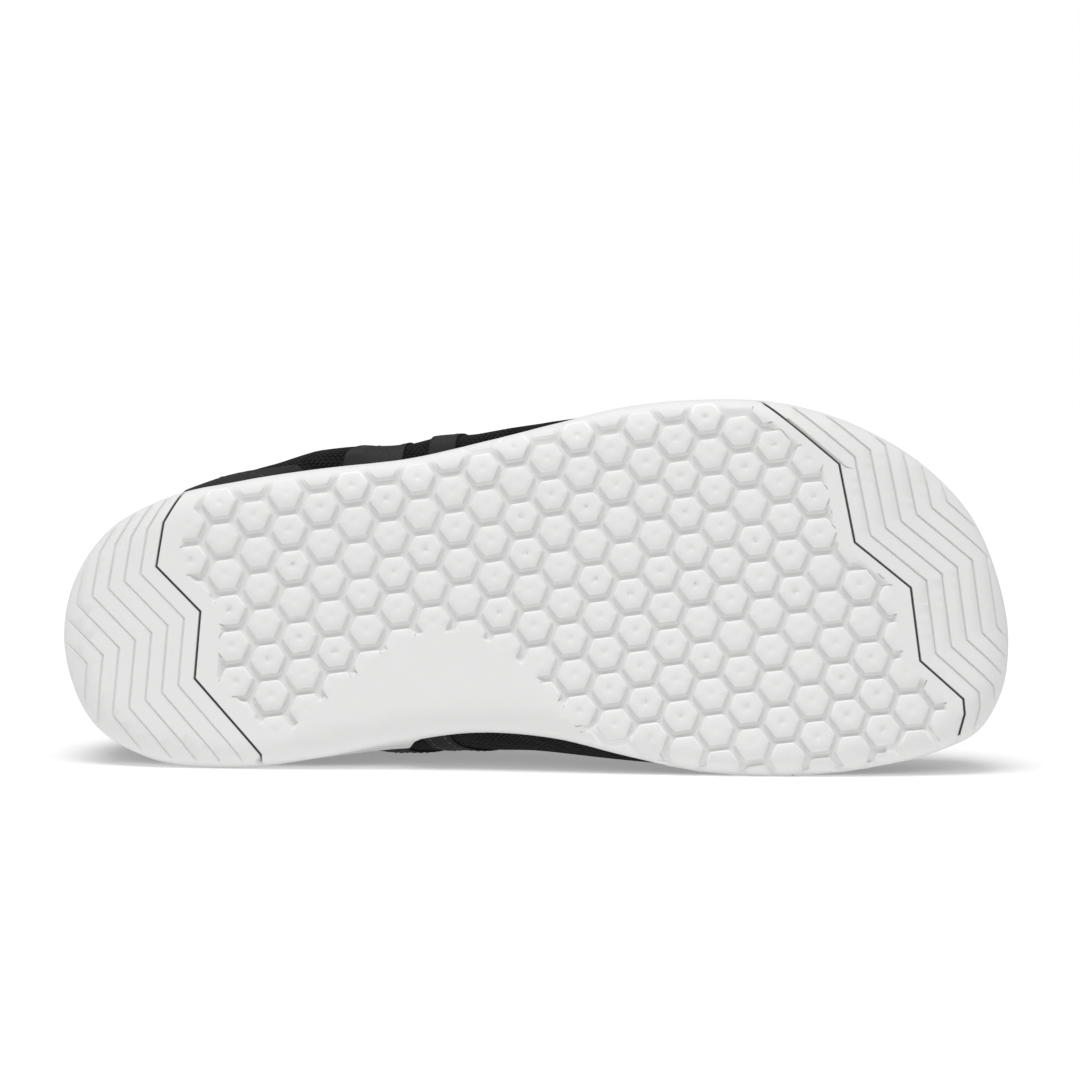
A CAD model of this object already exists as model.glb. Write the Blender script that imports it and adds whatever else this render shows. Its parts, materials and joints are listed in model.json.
"""Looks of a barefoot shoe that lies on its inner side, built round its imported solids.

Each piece is shaped in the shoe's own frame, where +X runs from heel to toe, +Y points to
the inner side of the foot and +Z up from the tread, and is then laid where the solids lie.
"""

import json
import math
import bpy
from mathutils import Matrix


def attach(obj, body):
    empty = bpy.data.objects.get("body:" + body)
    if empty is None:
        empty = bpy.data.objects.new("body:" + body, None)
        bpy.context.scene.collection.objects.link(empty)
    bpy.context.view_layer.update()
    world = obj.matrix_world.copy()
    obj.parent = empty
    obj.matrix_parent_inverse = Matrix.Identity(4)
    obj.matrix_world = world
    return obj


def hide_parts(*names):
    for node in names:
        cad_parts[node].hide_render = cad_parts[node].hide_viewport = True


bl_info = {
    "name": "Barefoot shoe",
    "version": (1, 0, 0),
    "blender": (4, 5, 0),
    "location": "View3D > Sidebar > Shoe",
    "description": "Lugged sole, knit upper, film overlays and rib cuff of a barefoot shoe",
    "category": "Object",
}

import bmesh
import bpy
import numpy as np
from bpy.props import FloatProperty, FloatVectorProperty, IntProperty, PointerProperty
from bpy.types import Operator, Panel, PropertyGroup
from mathutils import Matrix, Vector
from mathutils.bvhtree import BVHTree
from mathutils.geometry import delaunay_2d_cdt

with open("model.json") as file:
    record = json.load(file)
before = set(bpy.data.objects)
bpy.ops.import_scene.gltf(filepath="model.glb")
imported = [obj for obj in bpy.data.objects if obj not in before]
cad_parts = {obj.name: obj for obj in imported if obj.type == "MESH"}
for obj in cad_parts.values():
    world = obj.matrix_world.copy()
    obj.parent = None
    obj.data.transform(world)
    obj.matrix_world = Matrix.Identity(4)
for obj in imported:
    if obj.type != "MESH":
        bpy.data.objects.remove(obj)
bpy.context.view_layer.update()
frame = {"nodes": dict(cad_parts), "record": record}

# Sizes that the solids have, in metres
SOLE_LENGTH = 0.280
BALL_WIDTH = 0.1158
SEAT_HEIGHT = 0.0038
RAND_WALL = 0.0020
EDGE_RISE = 0.0048
TIP_ACROSS = 0.018
TOE_SPRING = 0.012
TOE_SPRING_FROM = 0.66
TOE_SPRING_POWER = 2.1
HEEL_SPRING = 0.0025
HEEL_SPRING_TO = 0.13
ARCH_LIFT = 0.0016
ARCH_SPAN = (0.22, 0.58)
LUG_PITCH = 0.01127
LUG_ANGLE = math.radians(22.3)
LUG_START = (0.4238 * SOLE_LENGTH, -0.1546 * BALL_WIDTH)
LUG_BOW = (0.16, 0.46)
LUG_BOW_FROM = (0.50, -0.069)
HEEL_BAND = 0.0064
TOE_BAND = 0.0050
INSTEP_HEIGHT = 0.073
COLLAR_MIDDLE = -0.0085

# Plan of the sole: share of the length, then of the ball's width outward and inward
OUTLINE = (
    (0.010, 0.140, 0.130), (0.040, 0.254, 0.260), (0.100, 0.341, 0.350), (0.190, 0.393, 0.378),
    (0.280, 0.427, 0.351), (0.360, 0.452, 0.308), (0.440, 0.496, 0.282), (0.520, 0.543, 0.298),
    (0.600, 0.589, 0.347), (0.680, 0.606, 0.388), (0.770, 0.594, 0.396), (0.850, 0.534, 0.370),
    (0.920, 0.430, 0.322), (0.965, 0.307, 0.261), (0.990, 0.155, 0.160),
)

# Edge of the sole: share of the length, edge rounding on the outer and the inner side,
# height of the rand on both sides as shares of the ball's width, and its lean
EDGE = (
    (0.00, 0.080, 0.080, 0.105, 0.105, 0.22, 0.22),
    (0.14, 0.100, 0.060, 0.085, 0.100, 0.22, 0.50),
    (0.30, 0.115, 0.055, 0.056, 0.112, 0.18, 0.20),
    (0.371, 0.115, 0.055, 0.054, 0.122, 0.18, 0.00),
    (0.380, 0.115, 0.055, 0.054, 0.050, 0.18, 0.00),
    (0.55, 0.115, 0.055, 0.054, 0.050, 0.18, 0.10),
    (0.72, 0.100, 0.050, 0.060, 0.056, 0.22, 0.30),
    (0.90, 0.080, 0.070, 0.080, 0.080, 0.22, 0.24),
    (1.00, 0.070, 0.070, 0.115, 0.115, 0.24, 0.24),
)

# Lines moulded in the tread, as shares of the length and of the ball's width
HEEL_LINE = (
    (0.142, -0.440), (0.119, -0.337), (0.105, -0.265), (0.100, -0.145),
    (0.150, -0.023), (0.148, 0.155), (0.221, 0.351), (0.224, 0.600),
)
TOE_LINE = (
    (0.715, -0.653), (0.752, -0.573), (0.824, -0.420), (0.839, -0.209), (0.897, -0.094),
    (0.905, 0.098), (0.949, 0.192), (0.950, 0.230), (0.920, 0.470),
)
ARCH_LINE = (
    (0.600, 0.420), (0.563, 0.330), (0.534, 0.228), (0.483, 0.104), (0.449, 0.052),
    (0.404, 0.030), (0.368, 0.051), (0.343, 0.088), (0.286, 0.209), (0.240, 0.330),
)
TOE_TWIN = ((0.770, -0.541), (0.800, -0.478), (0.831, -0.412))

# How far each fine line lies from the one before it, along and across, in metres
HEEL_STEP = (-0.00475, 0.0022)
TOE_STEP = (0.00460, -0.0024)
FINE_LINES = 8

# Overlays seen from the side: share of the length and of the instep's height
HEEL_LEAF = (
    (-0.100, 0.020), (-0.100, 0.660), (0.060, 0.600), (0.110, 0.420), (0.160, 0.225),
    (0.205, 0.160), (0.255, 0.115), (0.281, 0.070), (0.285, 0.020),
)
REAR_BAND = (
    (0.262, 0.020), (0.300, 0.140), (0.335, 0.270), (0.362, 0.480), (0.415, 0.740),
    (0.455, 0.780), (0.400, 0.480), (0.362, 0.270), (0.351, 0.020),
)
FRONT_BAND = (
    (0.378, 0.020), (0.390, 0.250), (0.424, 0.480), (0.474, 0.740), (0.510, 0.760),
    (0.466, 0.480), (0.420, 0.250), (0.406, 0.020),
)

# Soft troughs in the upper, in the shoe's frame in metres: start, end, half width, depth
CREASES = (
    ((0.170, -0.056, 0.020), (0.181, -0.030, 0.046), 0.0035, 0.0011),
    ((0.181, -0.030, 0.046), (0.190, 0.004, 0.052), 0.0038, 0.0013),
    ((0.190, 0.004, 0.052), (0.199, 0.034, 0.036), 0.0034, 0.0010),
    ((0.187, -0.060, 0.019), (0.199, -0.030, 0.042), 0.0036, 0.0012),
    ((0.199, -0.030, 0.042), (0.206, 0.006, 0.047), 0.0040, 0.0014),
    ((0.206, 0.006, 0.047), (0.211, 0.036, 0.030), 0.0034, 0.0010),
    ((0.156, -0.044, 0.038), (0.163, -0.010, 0.059), 0.0034, 0.0008),
    ((0.214, -0.050, 0.024), (0.221, -0.020, 0.040), 0.0034, 0.0008),
    ((0.050, -0.040, 0.022), (0.086, -0.046, 0.041), 0.0040, 0.0009),
    ((0.060, -0.036, 0.040), (0.098, -0.040, 0.052), 0.0034, 0.0008),
    ((0.056, 0.030, 0.022), (0.092, 0.024, 0.040), 0.0040, 0.0009),
    ((0.112, -0.052, 0.030), (0.126, -0.030, 0.058), 0.0036, 0.0008),
    ((0.118, 0.024, 0.032), (0.130, 0.014, 0.060), 0.0036, 0.0008),
)

# How much further the slack textile stands out over the sole's outer edge: place, distance
SLACK = (
    (0.022, 0.0000), (0.034, 0.0026), (0.049, 0.0012), (0.061, 0.0011), (0.073, 0.0024), (0.085, 0.0020),
    (0.091, 0.0009), (0.097, 0.0006), (0.109, 0.0022), (0.121, 0.0018), (0.132, 0.0026), (0.144, 0.0028),
    (0.156, 0.0024), (0.163, 0.0031), (0.171, 0.0038), (0.183, 0.0036), (0.192, 0.0012), (0.215, 0.0000),
)

# Heights between which the slack grows and dies out, and the side that has it, in metres
SLACK_GROWS = (0.005, 0.012)
SLACK_DIES = (0.030, 0.046)
SLACK_SIDE = -0.020

# Soft swellings in the upper: middle, radius, height
PUFFS = (
    ((0.232, -0.030, 0.034), 0.020, 0.0008),
    ((0.236, 0.022, 0.034), 0.018, 0.0008),
)

# A trough's soft banks: height as a share of its depth, and distance in widths
BANK_HEIGHT = 0.45
BANK_PLACE = 2.2

# Line through the shoe's inside, from which in and out are told: places along, values there
CORE_ACROSS = ((0.035, -0.004), (0.10, -0.010), (0.17, -0.012), (0.235, 0.002))
CORE_HEIGHT = ((0.035, 0.034), (0.12, 0.034), (0.235, 0.020))

# The upper keeps its place up to this height over the rand and moves freely past the next
HELD_UP_TO = 0.0005
FREE_OVER = 0.004

# Rows of the rand: share of its height, or None for the seat, and depth inside its face
RAND_ROWS = (
    (0.30, 0.0), (0.66, 0.0), (0.72, 0.00025), (0.78, 0.0), (0.94, 0.0), (0.985, 0.00022),
    (1.0, 0.0006), (1.0, RAND_WALL - 0.0002), (0.97, RAND_WALL), (None, RAND_WALL),
)

# Shares of a groove's depth on a lug's soft edge, on its wall and at its foot
SOFT_SHARE = 0.30
WALL_SHARE = 0.58
FOOT_SHARE = 0.12

# Inset at which the grooves begin and the width over which they deepen, on the outer and
# the inner side and where they run on over the inner edge, with that stretch's ends
FADE_OUTER = (0.0035, 0.0050)
FADE_INNER = (0.0030, 0.0040)
FADE_WRAPPED = (-0.0005, 0.0012)
WRAPPED = (0.178, 0.243)
FIELD_FADE = 0.0016

# Thin lines round a lug: distance out from its edge, half width
TICK_LINE = (0.0001, 0.00026)
WALL_LINE = (0.0001, 0.00025)
FOOT_LINE = (0.00085, 0.00035)
RIM_LINE = (-0.00004, 0.00028)
FOOT_LINE_SHARE = 0.75

# Insets from the rim, in metres: where dimples begin, where thin lines are whole, and where
# the moulded lines are
DIMPLES_FROM = 0.003
LINES_WHOLE = 0.004
MOULDED_FROM = 0.002

# Each lug's wear, as a share of the usual, and the wear past which its dimple is scuffed
WEAR_SEED = 11
WEAR_RANGE = (0.25, 1.30)
SCUFFED_PAST = 0.8
TICKED_PAST = 0.45

# The tread's net: turns down the rounded edge, rings round a lug and round its dimple
EDGE_TURNS = (90, 80, 69, 57)
FINE_OFFSETS = (-0.00018, 0.0001, 0.00055, 0.00085)
DIMPLE_RINGS = ((1.0, 12), (0.6, 8), (0.25, 6))
BORDER_OFFSETS = (0.0, 0.0004, 0.0008, 0.0016)
BORDER_SPACING = 0.0009
RING_SPACING = 0.001
LINE_SPACING = 0.002
GRID_STEP = 0.004
GRID_ACROSS = (-0.07, 0.05)
LEAST_INSET = 0.0012
LINE_INSET = 0.0006
PAST_BORDER = 0.0003

# Overlays: height of the skin they lie on, margin of the part they are cut from, in metres,
# and their bevel as a share of their thickness
SKIN_HEIGHT = 0.00012
CUT_MARGIN = 0.008
FILM_BEVEL = 0.35

# Stitches: inset from the film's edge, half width and half height, and height of the middle,
# in metres, and half length as a share of the pitch
STITCH_INSET = 0.0016
STITCH_SIZE = (0.00028, 0.00026)
STITCH_HEIGHT = 0.0001
STITCH_SHARE = 0.40

# Pitch and depth of the knits and the rib, in metres
KNIT_DEPTH = 0.0005
LINING_KNIT = (0.0009, 0.0002)
FOOTBED_KNIT = (0.0011, 0.0003)
RIB_DEPTH = 0.0007
RIB_YARN = 0.0008
FOOTBED_BEVEL = 0.0007
SOFT_EDGE = math.radians(50.0)

# Ellipse that stands for the cuff's ring in plan, in metres
CUFF_MIDDLE = (0.0675, COLLAR_MIDDLE * 0.75)
CUFF_REACH = (0.0585, 0.029)

# Soft light from above, light in front, floor
SUN_PLACE = (-0.10, -0.02, 1.0)
SUN_SPREAD = math.radians(40.0)
FILL_PLACE = (0.1, -1.4, 0.5)
FILL_SIZE = 1.2
FLOOR_SIZE = 30.0
FLOOR_GLOW = 0.3
FLOOR_TONES = (0.72, 0.74)
WHITE = (1.0, 1.0, 1.0, 1.0)
SENSOR_WIDTH = 36.0

# Point of the tread that the camera aims past, and by how much, in metres
AIM = (0.1416, -0.0110, 0.0)
AIM_SHIFT = (0.00089, 0.01262)

# Where the two stated places of the tread lie in the shoe's own plan, in metres
HEEL_TREAD = (0.0528, 0.00783)
FOREFOOT_TREAD = (0.17038, 0.00331)

MILLIMETRES = 1000.0
CURVE_POINTS = 1600
STATION_SKIP = 5


def shoe_matrix():
    """Where the shoe's own frame lies, from the stated places of the tread."""
    mounts = {mount["name"]: mount for mount in frame["record"]["mounts"]}
    heel = Vector(mounts["heel_tread"]["pos_m"])
    run = Vector(mounts["forefoot_tread"]["pos_m"]) - heel
    up = -Vector(mounts["heel_tread"]["axis"]).normalized()
    run = (run - run.dot(up) * up).normalized()
    turn = math.atan2(FOREFOOT_TREAD[1] - HEEL_TREAD[1], FOREFOOT_TREAD[0] - HEEL_TREAD[0])
    along = Matrix.Rotation(-turn, 3, up) @ run
    axes = Matrix((along, up.cross(along), up)).transposed()
    start = heel - axes @ Vector((*HEEL_TREAD, 0.0))
    return Matrix.Translation(start) @ axes.to_4x4()


SHOE = shoe_matrix()
UPRIGHT = SHOE.inverted()


def smooth_step(value):
    """A soft ramp from 0 to 1."""
    value = np.clip(value, 0, 1)
    return value * value * (3 - 2 * value)


def ridge(value, line):
    """1 on a thin line, 0 past its half width, and a straight slope between."""
    middle, half_width = line
    return np.clip(1 - np.abs(value - middle) / half_width, 0, 1)


def looked_up(table, at):
    """Values between the rows of a table of places and values."""
    return np.interp(at, *np.transpose(table))


def hermite(knots, values, slopes, at):
    """Points at the given places on the smooth curve through the knots."""
    place = np.clip(np.searchsorted(knots, at, side="right") - 1, 0, len(knots) - 2)
    step = (knots[place + 1] - knots[place])[:, None]
    share = (at - knots[place])[:, None] / step
    rise = values[place + 1] - values[place]
    pull = (slopes[place] * step - rise) * (1 - share) - (slopes[place + 1] * step - rise) * share
    return values[place] + share * rise + share * (1 - share) * pull


def sole_curve():
    """The sole's closed outline as a fine polygon that starts at the heel's tip."""
    tip = TIP_ACROSS * BALL_WIDTH
    points = [(0.0, tip)]
    points += [(along * SOLE_LENGTH, -outer * BALL_WIDTH) for along, outer, _ in OUTLINE]
    points += [(SOLE_LENGTH, tip)]
    points += [(along * SOLE_LENGTH, inner * BALL_WIDTH) for along, _, inner in reversed(OUTLINE)]
    points = np.array(points)
    wrapped = np.vstack((points[-2:], points, points[:3]))
    knots = np.concatenate(([0.0], np.cumsum(np.linalg.norm(np.diff(wrapped, axis=0), axis=1))))
    slopes = np.gradient(wrapped, knots, axis=0)
    fine = np.linspace(knots[2], knots[len(points) + 2], CURVE_POINTS, endpoint=False)
    return hermite(knots, wrapped, slopes, fine)


SOLE = sole_curve()
SOLE_TANGENT = np.roll(SOLE, -1, axis=0) - np.roll(SOLE, 1, axis=0)
SOLE_NORMAL = np.column_stack((SOLE_TANGENT[:, 1], -SOLE_TANGENT[:, 0]))
SOLE_NORMAL /= np.linalg.norm(SOLE_NORMAL, axis=1)[:, None]
ON_OUTER = np.arange(CURVE_POINTS) < np.argmax(SOLE[:, 0])


def edge_column(outer_column, inner_column):
    """A pair of columns of the edge's table at every point of the outline."""
    table = np.array(EDGE)
    share = SOLE[:, 0] / SOLE_LENGTH
    outer = np.interp(share, table[:, 0], table[:, outer_column])
    return np.where(ON_OUTER, outer, np.interp(share, table[:, 0], table[:, inner_column]))


EDGE_WIDTH = edge_column(1, 2) * BALL_WIDTH
RAND_TOP = edge_column(3, 4) * BALL_WIDTH
RAND_LEAN = edge_column(5, 6)


def lift(along):
    """Height by which the sole's line rises, from its springs and its arch."""
    share = np.asarray(along) / SOLE_LENGTH
    ahead = (share - TOE_SPRING_FROM) / (1 - TOE_SPRING_FROM)
    toe = TOE_SPRING * np.clip(ahead, 0, None) ** TOE_SPRING_POWER
    heel = HEEL_SPRING * np.clip((HEEL_SPRING_TO - share) / HEEL_SPRING_TO, 0, None) ** 2
    arch = np.clip((share - ARCH_SPAN[0]) / (ARCH_SPAN[1] - ARCH_SPAN[0]), 0, 1)
    return toe + heel + ARCH_LIFT * np.sin(np.pi * arch) ** 2


def nearest_edge(plan):
    """Index of the outline's point nearest to each plan point, and the inset from it."""
    index = np.empty(len(plan), int)
    for start in range(0, len(plan), 4000):
        part = plan[start:start + 4000]
        gap = ((part[:, None, :] - SOLE[None]) ** 2).sum(2)
        index[start:start + 4000] = gap.argmin(1)
    inset = -((plan - SOLE[index]) * SOLE_NORMAL[index]).sum(1)
    return index, inset


def line_distance(plan, corners, closed=False):
    """Distance from each plan point to a line through the corners."""
    corners = np.asarray(corners)
    ahead = np.roll(corners, -1, axis=0) if closed else corners[1:]
    best = np.full(len(plan), 1.0)
    for start, end in zip(corners, ahead):
        run = end - start
        share = np.clip(((plan - start) @ run) / (run @ run), 0, 1)
        best = np.minimum(best, np.linalg.norm(plan - start - share[:, None] * run, axis=1))
    return best


def inside_line(plan, corners):
    """Which plan points lie inside a closed line."""
    corners = np.asarray(corners)
    result = np.zeros(len(plan), bool)
    for (x1, y1), (x2, y2) in zip(corners, np.roll(corners, -1, axis=0)):
        if y1 == y2:
            continue
        crosses = (plan[:, 1] < y1) != (plan[:, 1] < y2)
        result ^= crosses & (plan[:, 0] < x1 + (plan[:, 1] - y1) * (x2 - x1) / (y2 - y1))
    return result


def tread_line(corners, shift=(0.0, 0.0)):
    """Plan points of one of the tread's lines, moved by a shift."""
    return np.array(corners) * (SOLE_LENGTH, BALL_WIDTH) + shift


def rounded(corners, rounds=3):
    """A closed line with its corners cut again and again until they are soft."""
    line = np.asarray(corners, float)
    for _ in range(rounds):
        ahead = np.roll(line, -1, axis=0)
        line = np.stack((line * 0.75 + ahead * 0.25, line * 0.25 + ahead * 0.75), 1).reshape(-1, 2)
    return line


def lug_field():
    """Plan of the field of lugs, past the sole on both sides, with a soft arch line."""
    arch = tread_line(ARCH_LINE)[::-1]
    fine = np.linspace(0, len(arch) - 1, 40)
    knots = np.arange(len(arch), dtype=float)
    arch = hermite(knots, arch, np.gradient(arch, axis=0), fine)
    heel = tread_line(HEEL_LINE, (HEEL_BAND, 0.0))[:-2]
    return np.vstack((heel, arch, tread_line(TOE_LINE, (-TOE_BAND, 0.0))[::-1]))


def lug_centres():
    """Centres of all hexagon lugs that the sole's plan could hold."""
    turned = LUG_ANGLE + math.radians(60.0)
    first = LUG_PITCH * np.array((math.cos(LUG_ANGLE), math.sin(LUG_ANGLE)))
    second = LUG_PITCH * np.array((math.cos(turned), math.sin(turned)))
    reach = int(SOLE_LENGTH / LUG_PITCH)
    steps = [(a, b) for a in range(-reach, reach + 1) for b in range(-reach, reach + 1)]
    centres = np.array([np.array(LUG_START) + a * first + b * second for a, b in steps])
    middle = np.array(LUG_BOW_FROM) * (SOLE_LENGTH, BALL_WIDTH)
    centres -= np.array(LUG_BOW) * (centres - middle) ** 2
    _, inset = nearest_edge(centres)
    return centres[inset > -LUG_PITCH]


TREAD_LAYERS = ("groove", "dark_line", "scuff", "lower_wall", "upper_rim")


class TreadShape:
    """The tread's relief: lugs, grooves and lines as functions of the plan."""

    def __init__(self, sizes):
        self.sizes = sizes
        self.centres = lug_centres()
        self.field = lug_field()
        counts = range(FINE_LINES + 1)
        self.heel_lines = [tread_line(HEEL_LINE, np.array(HEEL_STEP) * n) for n in counts]
        self.toe_lines = [tread_line(TOE_LINE, np.array(TOE_STEP) * n) for n in counts]
        self.toe_lines.append(tread_line(TOE_TWIN))
        self.wear = np.random.default_rng(WEAR_SEED).uniform(*WEAR_RANGE, len(self.centres))

    def lug_place(self, plan):
        """Distance out from the nearest lug's edge and from its middle, how low on it, its wear."""
        best = np.empty(len(plan), int)
        for start in range(0, len(plan), 8000):
            part = plan[start:start + 8000]
            best[start:start + 8000] = ((part[:, None] - self.centres[None]) ** 2).sum(2).argmin(1)
        arm = plan - self.centres[best]
        radius = np.linalg.norm(arm, axis=1)
        sector = math.radians(60.0)
        turn = np.arctan2(arm[:, 1], arm[:, 0]) - LUG_ANGLE
        turn = np.abs((turn + sector / 2) % sector - sector / 2)
        corner = self.sizes.lug_corner
        flat = self.sizes.lug_width / 2 - corner
        side = flat * math.tan(sector / 2)
        out = radius * np.cos(turn) - flat
        along = radius * np.sin(turn) - side
        out = np.where(along > 0, np.hypot(out, np.maximum(along, 0)), out) - corner
        return out, radius, arm[:, 1] / np.maximum(radius, 1e-6), self.wear[best]

    def field_depth(self, plan):
        """How far inside the field of lugs each point is."""
        gap = line_distance(plan, self.field, closed=True)
        return np.where(inside_line(plan, self.field), gap, -gap)

    def relief(self, plan):
        """Height over the flat tread, and the share of each of the tread's layers."""
        sizes = self.sizes
        index, inset = nearest_edge(plan)
        sine = np.clip(1 - inset / EDGE_WIDTH[index], 0, 1)
        height = EDGE_RISE * (1 - np.sqrt(1 - sine ** 2))
        out, radius, low, wear = self.lug_place(plan)
        depth = self.field_depth(plan)
        bevel = sizes.lug_bevel
        soft = SOFT_SHARE * np.clip((out + bevel) / bevel, 0, 1) ** 2
        wall = WALL_SHARE * np.clip(out / sizes.lug_wall, 0, 1)
        foot = FOOT_SHARE * smooth_step((out / sizes.lug_wall - 1) / 1.2)
        on_outer = ON_OUTER[index][:, None]
        wraps = ~on_outer & (plan[:, :1] > WRAPPED[0]) & (plan[:, :1] < WRAPPED[1])
        fade = np.where(wraps, FADE_WRAPPED, np.where(on_outer, FADE_OUTER, FADE_INNER))
        inner_field = smooth_step(depth / FIELD_FADE)
        groove = (soft + wall + foot) * smooth_step((inset - fade[:, 0]) / fade[:, 1]) * inner_field
        dimple = 0.5 + 0.5 * np.cos(np.pi * np.clip(radius / sizes.dimple_radius, 0, 1))
        dimple *= smooth_step((inset - DIMPLES_FROM) / DIMPLES_FROM) * inner_field
        scuff = dimple * smooth_step((wear - SCUFFED_PAST) / 0.3)
        crown = np.where(out < 0, (radius / sizes.lug_width * 2) ** 2, 1.0) * inner_field
        height += sizes.groove_depth * groove + sizes.dimple_depth * dimple * wear
        height += sizes.lug_crown * crown
        near_rim = smooth_step(inset / LINES_WHOLE)
        tick = ridge(out, TICK_LINE) * smooth_step((wear - TICKED_PAST) / 0.3)
        tick *= (depth > -0.0002) * np.clip((sizes.slit_width - depth) / 0.0004, 0, 1)
        dark = sizes.slit_shade * tick * near_rim
        wall_lines = np.maximum(ridge(out, WALL_LINE), FOOT_LINE_SHARE * ridge(out, FOOT_LINE))
        lower_wall = wall_lines * smooth_step((low + 0.10) / 0.7) * inner_field
        lower_wall *= near_rim * np.clip(wear + 0.2, 0, 1)
        upper_rim = ridge(out, RIM_LINE) * smooth_step(-(low + 0.05) / 0.5)
        upper_rim *= inner_field * np.clip(wear, 0.3, 1)
        lines = [(number, line, sizes.heel_tone) for number, line in enumerate(self.heel_lines)]
        lines += [(number, line, 1.0) for number, line in enumerate(self.toe_lines)]
        for number, line, tone in lines:
            main = number == 0
            width = sizes.dark_width if main else sizes.fine_width
            share = np.clip(1 - line_distance(plan, line) / width, 0, 1)
            share *= smooth_step(inset / MOULDED_FROM)
            if main:
                height += sizes.dark_depth * np.minimum(share * 1.6, 1)
                dark = np.maximum(dark, np.minimum(share * 1.8, 1))
            else:
                height += sizes.fine_depth * share
                dark = np.maximum(dark, share * sizes.fine_shade * tone)
        return height, groove, dark, scuff, lower_wall, upper_rim


def lug_ring(centre, sizes, offset, corner_steps=3):
    """Plan points of a hexagon with soft corners, at an offset from the lug's edge."""
    sector = math.radians(60.0)
    flat = sizes.lug_width / 2 - sizes.lug_corner
    reach = flat / math.cos(sector / 2)
    ring = []
    for side in range(6):
        middle = LUG_ANGLE + sector * (side + 0.5)
        hub = centre + reach * np.array((math.cos(middle), math.sin(middle)))
        for step in range(corner_steps + 1):
            turn = LUG_ANGLE + sector * (side + step / corner_steps)
            arm = (sizes.lug_corner + offset) * np.array((math.cos(turn), math.sin(turn)))
            ring.append(hub + arm)
    return ring


def circle(centre, radius, count):
    """Plan points round a circle."""
    turns = [2 * math.pi * step / count for step in range(count)]
    return [centre + radius * np.array((math.cos(turn), math.sin(turn))) for turn in turns]


def side_line(line, offset):
    """An open line moved sideways, with its corners kept sharp."""
    run = np.diff(line, axis=0)
    normal = np.column_stack((-run[:, 1], run[:, 0])) / np.linalg.norm(run, axis=1)[:, None]
    first = np.vstack((normal[:1], normal))
    last = np.vstack((normal, normal[-1:]))
    mitre = (first + last) / (1 + (first * last).sum(1))[:, None]
    return line + mitre * offset


def close_points(line, spacing):
    """Points on an open line, no further apart than the spacing, with its corners."""
    points = []
    for start, end in zip(line, line[1:]):
        count = max(1, math.ceil(np.linalg.norm(end - start) / spacing))
        points += [start + (end - start) * step / count for step in range(count)]
    return np.array(points + [line[-1]])


class PlanNet:
    """Points and lines of the tread's plan, from which its triangles are made."""

    def __init__(self):
        self.points = []
        self.edges = []

    def add(self, points, keep, closed):
        """Add a line, leaving out points that aren't kept and the edges at them."""
        names = {}
        for place, point in enumerate(points):
            if keep[place]:
                names[place] = len(self.points)
                self.points.append(Vector((point[0] * MILLIMETRES, point[1] * MILLIMETRES)))
        count = len(points)
        for place in range(count if closed else count - 1):
            after = (place + 1) % count
            if place in names and after in names:
                self.edges.append((names[place], names[after]))


def tread_net(shape):
    """The tread's net: edge rings, lug rings, lines and a grid where it is smooth."""
    sizes = shape.sizes
    net = PlanNet()
    stations = SOLE[::STATION_SKIP]
    normals = SOLE_NORMAL[::STATION_SKIP]
    widths = EDGE_WIDTH[::STATION_SKIP]
    whole = np.ones(len(stations), bool)
    for turn in EDGE_TURNS:
        inset = widths * (1 - math.sin(math.radians(turn)))
        net.add(stations - normals * inset[:, None], whole, True)
    rings = []
    _, inside = nearest_edge(shape.centres)
    at_rim = (np.abs(shape.field_depth(shape.centres)) < LUG_PITCH * 0.8) | (inside < LUG_PITCH)
    for centre, finer in zip(shape.centres, at_rim):
        for offset in (-sizes.lug_bevel, *FINE_OFFSETS[:2], sizes.lug_wall, *FINE_OFFSETS[2:]):
            ring = np.array(lug_ring(centre, sizes, offset))
            if finer:
                ring = close_points(np.vstack((ring, ring[:1])), RING_SPACING)[:-1]
            rings.append(ring)
        for share, count in DIMPLE_RINGS:
            rings.append(circle(centre, sizes.dimple_radius * share, count))
    every = np.array([point for ring in rings for point in ring])
    _, inset = nearest_edge(every)
    keep = (inset > LEAST_INSET) & (shape.field_depth(every) > -PAST_BORDER)
    start = 0
    for ring in rings:
        net.add(ring, keep[start:start + len(ring)], True)
        start += len(ring)
    border = np.vstack((shape.field, shape.field[:1]))
    lines = [(close_points(side_line(border, offset), BORDER_SPACING), LEAST_INSET)
             for offset in BORDER_OFFSETS]
    for number, line in list(enumerate(shape.heel_lines)) + list(enumerate(shape.toe_lines)):
        width = sizes.dark_width if number == 0 else sizes.fine_width
        offsets = (-width, -width * 0.4, width * 0.4, width) if number == 0 else (-width, 0.0, width)
        lines += [(close_points(side_line(line, offset), LINE_SPACING), LINE_INSET)
                  for offset in offsets]
    for line, least in lines:
        _, inset = nearest_edge(line)
        net.add(line, inset > least, False)
    spots = np.array([(x, y) for x in np.arange(GRID_STEP, SOLE_LENGTH, GRID_STEP)
                      for y in np.arange(*GRID_ACROSS, GRID_STEP)])
    _, inset = nearest_edge(spots)
    clear = (inset > MOULDED_FROM) & (shape.field_depth(spots) < -RING_SPACING)
    for spot in spots[clear]:
        net.points.append(Vector((spot[0] * MILLIMETRES, spot[1] * MILLIMETRES)))
    return net


def new_object(name, mesh, materials, slot, *nodes):
    """A named object for one piece, which rides on the shoe and stands for CAD nodes."""
    piece = linked(name, mesh)
    for material in materials:
        mesh.materials.append(material)
    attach(piece, "root")
    if nodes:
        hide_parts(*nodes)
    return piece


def mesh_of(bm, name):
    """A new mesh from a bmesh, which is freed."""
    mesh = bpy.data.meshes.new(name)
    bm.to_mesh(mesh)
    bm.free()
    return mesh


def linked(name, data):
    """A new object in the scene."""
    item = bpy.data.objects.new(name, data)
    bpy.context.scene.collection.objects.link(item)
    return item


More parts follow.
